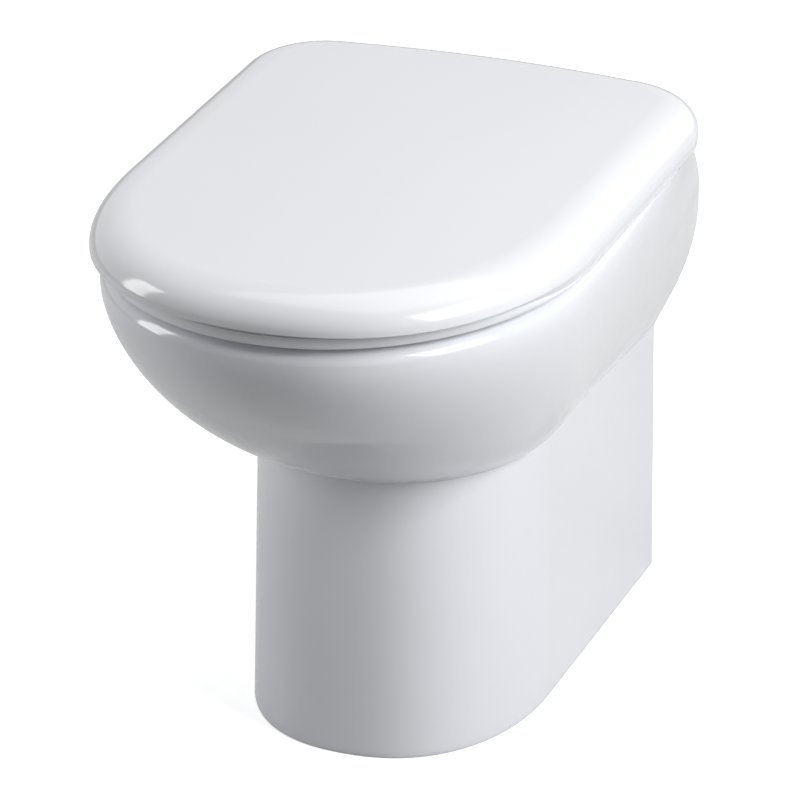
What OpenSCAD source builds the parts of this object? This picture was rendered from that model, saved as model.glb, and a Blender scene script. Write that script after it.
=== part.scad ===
// Back to wall toilet: a vitreous china pan with a skirted pedestal, a soft close seat and a wrap-over lid on
// lift-off hinges. Millimetres, +Z up, the front of the pan toward -Y and the wall face toward +Y.
// The origin is on the floor, in the middle of the whole part's bounding box.
// Each shape below is written from the wall: y = 0 is the wall face, and each piece is moved into place once.

/* [Pan] */
// Height of the china rim above the floor
rim_height = 400; // [380:1:480]
// Greatest width of the china bowl, just under the rim
bowl_width = 355.6; // [330:0.2:390]
// How far the china rim reaches out from the wall
bowl_reach = 561; // [500:1:600]
// Width of the china where it meets the wall
back_width = 286.4; // [260:0.4:300]
// Width of the pedestal at the floor
pedestal_width = 222.6; // [190:0.2:260]
// How far the foot of the pedestal reaches out from the wall
pedestal_reach = 386; // [330:1:420]
// Height of the crease where the bowl swells out of the pedestal
crease_height = 222; // [190:1:250]
// Thickness of the fired china walls
china = 11; // [9:0.5:14]
// Radius of the rounded outer edge of the rim
rim_round = 11; // [6:0.5:16]

/* [Bowl] */
// Width of the rim at each side of the bowl's opening
rim_sides = 52.8; // [45:0.2:60]
// Width of the rim in front of that opening
rim_front = 55; // [48:1:64]
// How far the back of that opening is from the wall
mouth_back = 152; // [140:1:180]
// Height of the bottom of the sump above the floor
sump_height = 100; // [85:1:120]

/* [Plumbing] */
// Outside diameter of the waste spigot
spigot_od = 102; // [98:1:110]
// Height of the middle of the spigot above the floor
spigot_height = 185; // [180:1:190]
// Diameter of the water passage through the trap
trap_bore = 66; // [60:1:72]
// Outside diameter of the flush pipe
flush_pipe = 44; // [38:0.5:50]
// Thickness of the rubber collar between the pipe and the flush inlet
seal_wall = 5.5; // [4.5:0.1:7]
// How far the middle of the flush inlet lies below the rim
inlet_drop = 64; // [60:1:68]

/* [Seat and lid] */
// How far the lid stands out past the china at each side
lid_sides = 1.8; // [1:0.1:6]
// How far the lid stands out past the china at the front
lid_front = 7; // [4:0.5:12]
// How far the back edge of the lid stands out behind the turning axis
lid_behind = 12; // [10:0.5:16]
// Gap between the seat's flat top and the ceiling of the lid, filled by the lid's pads
lid_gap = 8.8; // [7.5:0.1:12]
// Thickness of the lid's moulded skin
lid_skin = 3.2; // [2.6:0.1:3.8]
// How far the seat ring's lower lip stands out past the china at each side
seat_sides = 0.8; // [0:0.1:4]
// How far the seat ring stands out past the china at the front
seat_front = 3; // [0:0.5:6]
// Width of the hole in the seat
hole_width = 216; // [200:1:230]
// Gap between the rim and the underside of the seat, filled by the buffers
seat_gap = 4.5; // [3.5:0.1:6]
// Height of the flat top of the seat ring above the rim
seat_crown = 30; // [27:0.5:34]

/* [Hinges] */
// Distance between the two hinge studs
hinge_pitch = 155; // [140:1:160]
// Distance from the hinge studs to the wall
stud_back = 100; // [94:1:110]
// How far the turning axis lies behind the hinge studs
axis_behind = 34; // [30:0.5:36]
// Gap between the hinge barrels and the ceiling of the lid
barrel_room = 5.8; // [5:0.1:7]
// Diameter of the hinge pins
pin_d = 8; // [7:0.5:9]
// Outside diameter of the hinge barrels
barrel_d = 22; // [20:0.5:24]
// Diameter of the hinge holes in the china
stud_hole = 15; // [13:0.5:17]
// Diameter of the hinge studs
stud_d = 8; // [6:0.5:9]
// Travel of the release buttons
button_travel = 2.5; // [2:0.1:2.7]

/* [Hidden] */
$fn = 64;
lid_reach = bowl_reach + lid_front;
seat_reach = bowl_reach + seat_front;
lid_top = rim_height + seat_crown + lid_gap + lid_skin;
wall = lid_reach / 2;
run = 0.05;              // running clearance, each side, of a shaft in its hole
sink = 0.4;              // how far joined solids run into each other
half = 26;               // grid steps from the front tip of an outline to its back
seat_z = rim_height + seat_gap;
axis_back = stud_back - axis_behind;
axis_z = lid_top - lid_skin - barrel_room - barrel_d / 2;
ped_a = pedestal_width / 2;
bowl_a = bowl_width / 2;
mouth_a = bowl_a - rim_sides;
mouth_reach = bowl_reach - rim_front;
widest = bowl_reach - 208; // where the rim is widest, from the wall
inlet_height = rim_height - inlet_drop;
inlet_bore = flush_pipe + 2 * seal_wall;
weir_height = sump_height + 148;
stud_x = hinge_pitch / 2;
post_w = 28;             // width of a hinge post
post_x0 = stud_x - post_w / 2;
post_x1 = stud_x + post_w / 2;
arm_x1 = post_x0 - 1;
arm_x0 = arm_x1 - 24.5;  // inner end of a seat arm
lug_x0 = post_x1 + 1;    // inner end of a lid lug
lug_x1 = lug_x0 + 22.5;
lug_d = barrel_d - 2;    // barrels of the lid, which hide behind its top
bush_d = 14;             // outside of the bushes and of the dampers
disc_z = rim_height + 1.2;
post_z = disc_z + 3;     // underside of a hinge post
head_z = post_z + 9.8;   // top of a stud's mushroom head
head_d = stud_d + 2.4;   // its diameter
neck_d = stud_d - 1.2;   // diameter of the neck under it, where the latch plate lies
button_z = post_z + 7.3;
button_d = 10.8;
stem_d = 6;
latch_z = post_z + 3.1;  // underside of the latch plate
latch_t = 1.6;
latch_w = head_d + 4;    // width of the latch plate
latch_x1 = stud_x + head_d / 2 + button_travel + 0.4;   // outer edge of its window
well_x0 = latch_x1 + latch_t + 1.2;                     // bottom of the well for the spring
spring_room = 4.6;
flange_x0 = well_x0 + spring_room;                      // inner face of the button
collar = 3;              // how far the rim of the well stands out of the post

// ---------- outlines ----------

// Half width of a rounded outline at a distance from the wall, y negative toward the front. a is the greatest
// half width, front and back are its two ends, c is where it is widest, m and p are how square its ends are.
function oval(y, a, front, c, back, m, p) =
    y < c ? a * pow(max(0, 1 - pow((c - y) / (c - front), m)), 1 / m)
          : a * pow(max(0, 1 - pow((y - c) / max(1, back - c), p)), 1 / p);

function clamp(t) = min(1, max(0, t));
function smooth(t) = let (u = clamp(t)) u * u * (3 - 2 * u);

// The bowl swells out of the pedestal along curves that run from 0 at the crease to 1 under the rim: one for
// the front, one for the sides and one, which rises sooner, for the sides where they meet the wall. The
// crease slopes down toward the wall, after a short bend, and there the swelling starts with no step.
shoulder = rim_height - 15;
function slope(t) = let (u = clamp(t)) (u < 0.3 ? u * u / 0.6 : u - 0.15) / 0.85;
function crease(y) = crease_height - 16 * slope((y + 310) / 310);
function risen(z) = clamp((z - crease_height) / (shoulder - crease_height));
function swell(y, z) = clamp((z - crease(y)) / (shoulder - crease(y)));
function front_curve(z) = pow(1 - pow(1 - risen(z), 1.58), 0.89);
function side_curve(t) = pow(1 - pow(1 - t, 1.43), 0.76);
function wall_curve(t) = pow(1 - pow(1 - min(1, 1.6 * t), 2), 1.15);

// How far the foot has drawn in by a height.
function draft(z) = min(z, 190) / 190;
function foot_front(z) = -(pedestal_reach - 6 * draft(z));
function bowl_front(z) = -(pedestal_reach - 8 + (bowl_reach - pedestal_reach + 8) * front_curve(z));

// Front end of the china's outer skin at a height, drawn in by d.
function skin_front(z, d) = d + min(foot_front(z), z > crease_height ? bowl_front(z) : 0);

// Half width of the bowl: an oval from its front tip to its widest place c, then drawn in toward the wall,
// sooner at the crease than at the rim.
function bowl_half(y, z, d) =
    let (c = -(240 + (widest - 240) * front_curve(z)), t = swell(y, z),
        w = pow(clamp(1 - y / c), 1.3 + 2.2 * risen(z)),
        base = ped_a - 2 * smooth((y + 310) / 120),
        side = base + (bowl_a - ped_a) * side_curve(t),
        at_wall = base + (back_width / 2 - base) * wall_curve(t) - 15 * smooth((z - rim_height + 70) / 70))
    t == 0 || (z <= crease_height && y < c) ? 0
        : max(0, y < c ? oval(y, side - d, bowl_front(z) + d, c, 0, 2.08, 1)
            : side + (at_wall - side) * w - d);

// Half width of the outer skin: the foot or the bowl, with a small fillet over the crease that fades out
// toward the wall.
function skin_half(y, z, d) =
    let (k = 14, bowl = bowl_half(y, z, d), c = foot_front(z) + 147.5,
        foot = max(0, oval(y, ped_a - 2 * draft(z) - d, foot_front(z) + d, c, 60, 2.25, 40)))
    max(foot, pow((1 - smooth((y + 310) / 120)) * pow(foot, k) + pow(bowl, k), 1 / k));

// Points down the right side from the front tip to the back, then up the left side.
function spread(i) = (1 - cos(180 * i / half)) / 2;
function ring(w, y, z) = concat(
    [for (i = [0:half]) [w[i], y[i], z]], [for (i = [half:-1:1]) [-w[i], y[i], z]]);

// A level of the outer skin, drawn in by d and shaped as it is at height zs, but placed at height z.
function skin_ring(zs, d, z) =
    let (f = skin_front(zs, d), ys = [for (i = [0:half]) f + (-d - f) * spread(i)])
    ring([for (i = [0:half]) i == 0 ? 0 : skin_half(ys[i], zs, d)], ys, z);

// A level of the bowl's inside: half width a, from front to back, grown by d.
function bowl_ring(a, front, back, z, d = 0) =
    let (f = -(front + d), b = -(back - d), c = f + (b - f) * 0.52,
        ys = [for (i = [0:half]) f + (b - f) * (0.997 * spread(i))])
    ring([for (i = [0:half]) i == 0 ? 0 : oval(ys[i], a + d, f, c, b, 2.1, 2.6)], ys, z);

// The bowl's inside, [half width, front, back, height]: down from the rim, out under its lip, down the funnel
// and into the sump. A place in the funnel is given by its shares of the way from the mouth to the throat.
mouth = [mouth_a, mouth_reach, mouth_back, rim_height];
throat = [51, 318, 222, sump_height + 66];
function funnel(share) = [for (i = [0:3]) mouth[i] + (throat[i] - mouth[i]) * share[i]];
inside = [
    [mouth_a + 6, mouth_reach + 6, mouth_back - 6, rim_height],
    [mouth_a + 1.5, mouth_reach + 1.5, mouth_back - 1.5, rim_height - 2.5],
    [mouth_a, mouth_reach, mouth_back, rim_height - 7],
    [mouth_a, mouth_reach, mouth_back, rim_height - 34],
    [mouth_a + 3, mouth_reach + 3, mouth_back - 3, rim_height - 38],
    [mouth_a + 9, mouth_reach + 9, mouth_back - 9, rim_height - 41],
    [mouth_a + 6, mouth_reach + 1, mouth_back - 8, rim_height - 56],
    funnel([0.07, 0.23, -0.04, 0.39]),
    funnel([0.32, 0.54, 0.17, 0.56]),
    funnel([0.63, 0.85, 0.54, 0.73]),
    funnel([0.89, 0.95, 0.83, 0.89]),
    throat,
    [47, 306, 225, sump_height + 34],
    [45, 303, 226, sump_height + 12],
    [38, 296, 233, sump_height + 2],
    [22, 280, 248, sump_height]];

// ---------- closed grids ----------

function band(n, a, b) = [for (i = [0:n - 1]) let (j = (i + 1) % n)
    each [[a + i, a + j, b + j], [a + i, b + j, b + i]]];

// A closed skin through a run of rings, from a first pole to a last pole.
module poles(rings, first, last) {
    n = len(rings[0]);
    m = len(rings);
    polyhedron(points = concat([for (r = rings) each r], [first, last]),
        faces = concat([for (k = [0:m - 2]) each band(n, k * n, (k + 1) * n)],
            [for (i = [0:n - 1]) [n * m, (i + 1) % n, i]],
            [for (i = [0:n - 1]) [n * m + 1, (m - 1) * n + i, (m - 1) * n + (i + 1) % n]]));
}

// A closed skin through rings that come round to the first again.
module loop(rings) {
    n = len(rings[0]);
    m = len(rings);
    polyhedron(points = [for (r = rings) each r],
        faces = [for (k = [0:m - 1]) each band(n, k * n, ((k + 1) % m) * n)]);
}

module from_wall() translate([0, wall, 0]) children();
module both() for (s = [-1, 1]) scale_x(s) children();
module scale_x(s) if (s > 0) children(); else mirror([1, 0, 0]) children();
module rod_x(x0, x1, d) translate([x0, 0, 0]) rotate([0, 90, 0]) cylinder(d = d, h = x1 - x0);
module rod_y(y0, y1, d) translate([0, y0, 0]) rotate([-90, 0, 0]) cylinder(d = d, h = y1 - y0);
module tube(z0, z1, od, id) translate([0, 0, z0]) difference() {
    cylinder(d = od, h = z1 - z0);
    translate([0, 0, -1]) cylinder(d = id, h = z1 - z0 + 2);
}

// ---------- the pan ----------

under_deck = rim_height - 14;
spigot_wall = 9;
cup = len(inside) - 1;
lug_at = ped_a - 23;     // the holes of the floor fixings
lug_height = 22;

module china_shell() {
    base_z = [0, 4, 60, 120, for (low = [42, 22, 16, 10, 3]) crease_height - low];
    bowl_z = [for (t = [0.015, 0.06, 0.13, 0.22, 0.32, 0.44, 0.56, 0.68, 0.8, 0.9])
        crease_height + (shoulder - crease_height) * t];
    rings = concat(
        // from the sump up the inside of the bowl
        [for (i = [cup:-1:0]) let (r = inside[i]) bowl_ring(r[0], r[1], r[2], r[3])],
        // over the rim and down the outer skin
        [for (t = [90, 66, 44, 22, 0])
            skin_ring(rim_height - 4, rim_round * (1 - cos(t)), rim_height - rim_round * (1 - sin(t)))],
        [for (i = [len(bowl_z) - 1:-1:0]) skin_ring(bowl_z[i], 0, bowl_z[i])],
        [for (i = [len(base_z) - 1:-1:0]) skin_ring(base_z[i], base_z[i] == 0 ? 1.5 : 0, base_z[i])],
        // round the foot and up the hidden side of the skin
        [for (i = [0, 2, 4, 7]) skin_ring(base_z[i], china, base_z[i])],
        [for (i = [0, 2, 4, 6, 8]) skin_ring(bowl_z[i], china - 3, bowl_z[i] + 9)],
        [skin_ring(rim_height - 4, china - 1, under_deck)],
        // under the deck and down the hidden side of the bowl
        [bowl_ring(inside[5][0], inside[5][1], inside[5][2], under_deck, china - 1)],
        [for (i = [5:1:cup - 1]) let (r = inside[i]) bowl_ring(r[0], r[1], r[2], r[3] - 8, china - 2)]);
    poles(rings, [0, -262, sump_height], [0, -262, sump_height - china]);
}

// The water passage: out of the sump, up over the weir, down and back to the spigot, [y, z] from the wall.
way = [[-226.5, sump_height + 34], [-196, sump_height + 34], [-140, weir_height], [-88, spigot_height]];
shoulder_y = -74;        // where the spigot starts, as far from the wall as the last bend leaves it clear

module leg(a, b, d) translate([0, a[0], a[1]])
    rotate([atan2(-(b[0] - a[0]), b[1] - a[1]), 0, 0]) cylinder(d = d, h = norm(b - a));
module passage(d, spigot, from) {
    for (i = [0:2]) leg(way[i], way[i + 1], d);
    // each bend is a ball a little wider than the legs
    for (i = [1:3]) translate([0, way[i][0], way[i][1]]) sphere(d = d + 1.6);
    translate([0, 0, spigot_height]) rod_y(way[3][0], -14, d);
    translate([0, 0, spigot_height]) rod_y(from, -14, spigot);
}

module pan() color("White") from_wall() difference() {
    union() {
        china_shell();
        passage(trap_bore + 2 * (china - 2), spigot_od, shoulder_y);
        translate([0, 0, inlet_height]) rod_y(-mouth_back + 6, -4, inlet_bore + 2 * china);
        both() translate([lug_at - 11, -62, 0]) cube([ped_a - china + 1.5 - lug_at + 11, 34, lug_height]);
    }
    passage(trap_bore, spigot_od - 2 * spigot_wall, shoulder_y + spigot_wall);
    way_in();
    both() translate([stud_x, -stud_back, under_deck - 20]) cylinder(d = stud_hole, h = 60);
    both() translate([lug_at, -45, -1]) cylinder(d = 10, h = lug_height + 8);
    translate([-ped_a + 24, -china - 3, -1])
        cube([pedestal_width - 48, china + 4, inlet_height - inlet_bore / 2 - china - 25.5]);
}

// The bores that open the passage into the sump, and the inlet into the bowl and through the back.
module way_in() {
    translate([0, 0, sump_height + 34]) rod_y(-260, -226, trap_bore);
    translate([0, 0, inlet_height]) rod_y(-22, 1, inlet_bore);
    translate([0, 0, inlet_height]) rod_y(-4, 1, inlet_bore + 11);
    translate([0, 0, inlet_height]) rod_y(-mouth_back - 14, -20, inlet_bore - 10);
    translate([0, 0, spigot_height]) rod_y(-16, 1, spigot_od - 2 * spigot_wall);
}

module fixing_sleeves() color("Gainsboro") from_wall() both() translate([lug_at, -45, 0]) {
    tube(0, lug_height + sink, 9.9, 6.4);
    tube(lug_height, lug_height + 2.5, 18, 6.4);
}

// A rubber collar in the flush inlet, with a lip that lies on the china.
module inlet_seal() color("DimGray") from_wall() translate([0, 0, inlet_height]) rotate([90, 0, 0])
    rotate_extrude() polygon([[flush_pipe / 2, 21.5], [flush_pipe / 2, 8], [flush_pipe / 2 + 2.5, 2],
        [inlet_bore / 2 + 5, 2], [inlet_bore / 2 + 5, 3.9], [inlet_bore / 2 - 0.05, 3.9],
        [inlet_bore / 2 - 0.05, 21.5]]);

// ---------- hinge fixings, in the order they go through the china ----------

module at_studs() from_wall() both() translate([stud_x, -stud_back, 0]) children();

module hinge_studs() color("Silver") at_studs() rotate_extrude() polygon([
    [0, rim_height - 62], [stud_d / 2 - 1, rim_height - 62], [stud_d / 2, rim_height - 61],
    [stud_d / 2, post_z], [stud_d / 2 + 2, post_z], [stud_d / 2 + 2, post_z + 1.6],
    [neck_d / 2, post_z + 2.6],
    [neck_d / 2, head_z - 4.6], [head_d / 2, head_z - 3.4], [head_d / 2, head_z - 1.6],
    [head_d / 2 - 1.6, head_z], [0, head_z]]);
module stud_gaskets() color("WhiteSmoke") at_studs() tube(rim_height, disc_z, 42, stud_d + 0.6);
module stud_discs() color("Silver") at_studs() difference() {
    rotate_extrude() polygon([[0, disc_z], [20.5, disc_z], [21, disc_z + 0.5], [21, disc_z + 1.8],
        [19.8, post_z], [0, post_z]]);
    translate([0, 0, disc_z - 1]) cylinder(d = stud_d + 2 * run, h = 6);
}
module cone_washers() color("DimGray") at_studs() difference() {
    union() {
        translate([0, 0, under_deck - 7]) cylinder(d = 28, h = 7);
        translate([0, 0, under_deck - sink]) cylinder(d1 = stud_hole - 0.4, d2 = stud_d + 4.5, h = 8.4);
    }
    translate([0, 0, under_deck - 8]) cylinder(d = stud_d + 2 * run, h = 18);
}
module stud_washers() color("Silver") at_studs() tube(under_deck - 8.6, under_deck - 7, 24, stud_d + 2 * run);
module wing_nuts() color("WhiteSmoke") at_studs() difference() {
    union() {
        translate([0, 0, under_deck - 24.6]) cylinder(d = 15, h = 16);
        for (a = [0, 180]) rotate([0, 0, a + 20]) translate([5, -1.5, under_deck - 27.6])
            rotate([90, 0, 0]) translate([0, 0, -3]) linear_extrude(height = 3)
                polygon([[0, 6], [0, 16], [4, 16], [14, 7], [14, 0], [9, 0]]);
    }
    translate([0, 0, under_deck - 30]) cylinder(d = stud_d + 2 * run, h = 24);
}

// ---------- hinge posts, pins and release buttons ----------

// A post stands on its disc and carries its barrel behind it, so that the back of the lid can turn past it.
module post() difference() {
    union() {
        translate([0, -axis_back, axis_z]) rod_x(post_x0 - 0.3, post_x1 + 0.3, barrel_d);
        translate([post_x0, 0, 0]) rotate([90, 0, 90]) linear_extrude(height = post_w) polygon([
            [-stud_back - 17, post_z], [-stud_back - 17, post_z + 9], [-stud_back - 6, post_z + 17.6],
            [-axis_back - 0.26 * barrel_d, axis_z + 0.41 * barrel_d],
            [-axis_back - barrel_d / 3, axis_z - barrel_d / 3],
            [-stud_back + 18, post_z + 8.5], [-stud_back + 18, post_z]]);
        translate([0, -stud_back, button_z]) rod_x(post_x1 - sink, post_x1 + collar, button_d + 3);
    }
    translate([stud_x, -stud_back, post_z - 1]) cylinder(d = head_d + 2.2, h = head_z - post_z + 1.6);
    translate([0, -axis_back, axis_z]) rod_x(post_x0 - 1, post_x1 + 1, pin_d);
    translate([0, -stud_back, button_z]) {
        rod_x(well_x0, post_x1 + collar + 1, button_d + 2 * run);
        rod_x(stud_x, well_x0 + sink, stem_d + 2 * run);
    }
    // room for the latch plate, open below, and for the tab that lifts it to the stem
    translate([latch_x0 - button_travel - 0.5, -stud_back - latch_w / 2 - 0.3, post_z - 1])
        cube([latch_x1 - latch_x0 + latch_t + button_travel + 0.7, latch_w + 0.6,
            latch_z + latch_t + 1.3 - post_z]);
    translate([stud_x + 4, -stud_back - stem_d / 2 - run, post_z])
        cube([latch_x1 + latch_t + 0.2 - stud_x - 4, stem_d + 2 * run, button_z - post_z]);
}
module hinge_post_left() color("Gainsboro") from_wall() mirror([1, 0, 0]) post();
module hinge_post_right() color("Gainsboro") from_wall() post();

module hinge_pins() color("Silver") from_wall() both() translate([0, -axis_back, axis_z]) {
    rod_x(arm_x0 + 2, lug_x1 - 2, pin_d);
    rod_x(arm_x0 + 1.2, arm_x0 + 2 + sink, pin_d - 1);
    rod_x(lug_x1 - 2 - sink, lug_x1 - 1.2, pin_d - 1);
}

// A button, its stem and the plate whose window lies round the stud's neck. At rest the window's inner edge
// is under the head. Pressed in, the window clears the head and the post lifts off.
latch_x0 = stud_x - neck_d / 2 - 3.9;
module button() translate([0, -stud_back, 0]) {
    translate([0, 0, button_z]) {
        rod_x(latch_x1, flange_x0 + sink, stem_d);
        rod_x(flange_x0, flange_x0 + 4, button_d);
        rod_x(flange_x0 + 4 - sink, flange_x0 + 4.6, button_d - 1);
    }
    translate([latch_x1, -stem_d / 2, latch_z]) cube([latch_t, stem_d, button_z - latch_z]);
    difference() {
        translate([latch_x0, -latch_w / 2, latch_z]) cube([latch_x1 + latch_t - latch_x0, latch_w, latch_t]);
        translate([stud_x - neck_d / 2 - 0.2, -head_d / 2 - 0.3, latch_z - 1])
            cube([latch_x1 - stud_x + neck_d / 2 + 0.2, head_d + 0.6, latch_t + 2]);
    }
}
module release_button_left() color("Silver") from_wall() mirror([1, 0, 0]) button();
module release_button_right() color("Silver") from_wall() button();

// A coil round each button's stem, as one closed tube.
coil_n = 42;
coil_turns = 3;
coil_sides = 6;
wire_r = 0.3;
function coil_point(i, j, x0, x1) =
    let (t = i / coil_n, a = 360 * coil_turns * t, b = 360 * j / coil_sides, r = 4.1 + wire_r * cos(b))
    [x0 + (x1 - x0) * t + wire_r * sin(b), r * cos(a), r * sin(a)];
module coil(x0, x1) {
    n = coil_sides;
    polyhedron(points = [for (i = [0:coil_n]) for (j = [0:n - 1]) coil_point(i, j, x0, x1)],
        faces = concat([for (i = [0:coil_n - 1]) each band(n, i * n, (i + 1) * n)],
            [[for (j = [n - 1:-1:0]) j]], [[for (j = [0:n - 1]) coil_n * n + j]]));
}
module spring() translate([0, -stud_back, button_z])
    coil(well_x0 + wire_r + 0.1, flange_x0 - wire_r - 0.1);
module button_spring_left() color("Silver") from_wall() mirror([1, 0, 0]) spring();
module button_spring_right() color("Silver") from_wall() spring();

// ---------- seat ring and lid ----------

// Points round an outline: the front as part of a rounded oval, straight sides, rounded back corners of
// radius rc, and a back edge that bows out by bow. s runs through round_n steps from the left side, across
// the front.
round_n = 72;
function turn(s, a, front, c, m, back, rc, bow) =
    s <= 32 ? let (t = 180 + 180 * s / 32, x = a * sign(cos(t)) * pow(abs(cos(t)), 2 / m))
        [s == 16 ? 0 : x, c + (front - c) * pow(abs(sin(t)), 2 / m)]
    : s <= 40 ? [a, c + (back - rc - c) * (s - 32) / 8]
    : s <= 46 ? let (t = 15 * (s - 40)) [a - rc + rc * cos(t), back - rc + rc * sin(t)]
    : s <= 52 ? let (x = (a - rc) * (52 - s) / 6) [x, back + bow * (1 - pow(x / (a - rc), 2))]
    : let (q = turn(104 - s, a, front, c, m, back, rc, bow)) [-q[0], q[1]];

lid_low = lid_top - 24;         // where the lid's broad round-over begins
lift = lid_low - rim_height - 7.8;

// Height of the lid's lower edge: level along the sides, raised over the front for the fingers, and raised
// nearly up to the round-over along the back, so that it can turn over the china.
function skirt(y) =
    rim_height + 7 + lift * (0.657 * smooth((-y - widest - 17) / 120) + smooth((y + 80) / 18));

lid_a = bowl_a + lid_sides;
lid_bow = 8;                   // how far the lid's back edge bows out between its corners
lid_edge = -axis_back + lid_behind - lid_bow;
seat_a = bowl_a + seat_sides;

// A level of the lid: mix runs from the seat's rounder outline at the lower edge (0) to the squarer one
// above (1).
function lid_xy(s, d, mix) = turn(s, seat_a + (lid_a - seat_a) * mix - d,
    -(seat_reach + (lid_reach - seat_reach) * mix) + d, -widest + 3 * mix, 2.03 + 0.27 * mix,
    lid_edge - d, max(6, 67 - d), lid_bow);
function lid_ring(d, mix, z) = [for (s = [0:round_n - 1]) let (q = lid_xy(s, d, mix)) [q[0], q[1], z]];
// Below lid_low, a level of the skirt that is up (0 to 1) of the way from its lower edge to the round-over.
function lid_low_ring(d, mix, up) = [for (s = [0:round_n - 1])
    let (q = lid_xy(s, d, mix), z = skirt(q[1])) [q[0], q[1], z + (lid_low - z) * up]];

module lid_skin_solid() {
    t = lid_skin;
    poles(concat(
        // the shown side, from the middle of the top out over the broad edge and down the skirt
        [lid_ring(110, 1, lid_top - 0.15), lid_ring(60, 1, lid_top - 0.5), lid_ring(34, 1, lid_top - 0.9)],
        [for (w = [75, 60, 45, 30, 15, 0]) lid_ring(32 * (1 - cos(w)), 1, lid_low + 0.2 + 22.8 * sin(w))],
        [lid_low_ring(0, 0.7, 0.5), lid_low_ring(0, 0.15, 0.16), lid_low_ring(0.8, 0, 0)],
        // the hidden side, up the skirt and in across the ceiling
        [lid_low_ring(t + 1.6, 0, 0), lid_low_ring(t + 2.2, 0.5, 0.5)],
        [for (w = [0, 20, 40, 60, 80])
            lid_ring(t + 1.4 + 28 * (1 - cos(w)), 1, lid_low + 0.1 + (24 - t - 1) * sin(w))],
        [lid_ring(62, 1, lid_top - t - 0.6), lid_ring(120, 1, lid_top - t - 0.3)]),
        [0, -300, lid_top], [0, -300, lid_top - t]);
}

module lid() color("White") from_wall() difference() {
    union() {
        lid_skin_solid();
        both() translate([0, -axis_back, axis_z]) rod_x(lug_x0, lug_x1, lug_d);
        both() translate([lug_x0, -axis_back - 20, axis_z - 1]) cube([lug_x1 - lug_x0, 16, lug_d / 2 + 1]);
        both() translate([lug_x0, -axis_back - 40, axis_z + 8]) cube([3, 26, 7]);
        both() translate([lug_x1 - 3, -axis_back - 40, axis_z + 8]) cube([3, 26, 7]);
    }
    both() translate([0, -axis_back, axis_z]) rod_x(lug_x0 - 1, lug_x1 - 1.1, bush_d);
    for (p = lid_buffer_at) both() translate([p[0], p[1], pad_z]) cylinder(d = 4, h = pad_stem + 0.2);
    // notches in the back wall for the seat's arms and the posts
    both() translate([0, -axis_back, axis_z]) rod_x(arm_x0 - 0.8, lug_x0 + 0.3, barrel_d + 1.2);
    both() translate([arm_x0 - 0.8, -axis_back - 8, axis_z - 20]) cube([lug_x0 + 1.1 - arm_x0, 30, 20]);
}

pad_stem = 2;
pad_z = lid_top - lid_skin - 1.1;   // just under the lid's ceiling, where the pads' stems go in

// The seat ring: out is how far a point is drawn in from the outer outline, and across is how far it has gone
// over to the outline of the hole.
hole_front = seat_reach - 80;
seat_back = stud_back + 30;
hole_back = seat_back + 70;
function seat_xy(s, out, across) =
    let (o = turn(s, seat_a - out, -seat_reach + out, -widest, 2.03, -seat_back - out, 34, 4),
        i = turn(s, hole_width / 2, -hole_front, 8 - widest, 2.05, -hole_back, 96, 6))
    o + (i - o) * across;
function seat_section(s) =
    let (lip = skirt(seat_xy(s, 0, 0)[1]) - 0.6, top = rim_height + seat_crown)
    [[1, 0, seat_z], [0, 0, seat_z + 0.8], [0, 0, lip], [8, 0, lip + 0.4], [9, 0, top - 8],
        [11, 0.02, top - 3.4], [14, 0.08, top], [14, 0.46, top], [12, 0.72, top - 4.5], [10, 0.92, top - 12],
        [9, 1, top - 18], [9, 1.01, seat_z + 2.4], [9, 0.985, seat_z],
        // the hollow underneath
        [9, 0.84, seat_z], [9, 0.8, seat_z + 9], [11, 0.62, top - 9], [12, 0.24, top - 5.5],
        [10, 0.13, top - 9], [9, 0.11, seat_z]];
sections = [for (s = [0:round_n - 1]) seat_section(s)];
function seat_level(k) = [for (s = [0:round_n - 1])
    let (g = sections[s][k], q = seat_xy(s, g[0], g[1])) [q[0], q[1], g[2]]];

seat_buffer_front = [bowl_a - 89.8, 67 - bowl_reach];
seat_buffer_rear = [bowl_a - 27.8, -218];
lid_buffer_at = [[bowl_a - 81.8, 93 - bowl_reach], [bowl_a - 39.8, -232]];

module seat_ring() color("White") from_wall() difference() {
    union() {
        loop([for (k = [len(sections[0]) - 1:-1:0]) seat_level(k)]);
        both() translate([0, -axis_back, axis_z]) rod_x(arm_x0, arm_x1, barrel_d);
        both() translate([arm_x0, 0, 0]) rotate([90, 0, 90]) linear_extrude(height = arm_x1 - arm_x0)
            polygon([[-axis_back, axis_z], [-axis_back - 6, axis_z + barrel_d / 2 - 1.9],
                [-seat_back - 20, axis_z + 6], [-seat_back - 20, seat_z + 4],
                [-axis_back - 30, seat_z + 4.5], [-axis_back, axis_z - barrel_d / 2 + 0.2]]);
        // bosses that take the stems of the buffers
        for (p = [seat_buffer_front, seat_buffer_rear])
            both() translate([p[0], p[1], seat_z]) cylinder(d = 20, h = seat_crown - seat_gap - 5);
    }
    both() translate([0, -axis_back, axis_z]) rod_x(arm_x0 + 1.1, arm_x1 + 1, bush_d);
    for (p = [seat_buffer_front, seat_buffer_rear])
        both() translate([p[0], p[1], seat_z - 1]) cylinder(d = 5, h = 7.4);
}

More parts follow.
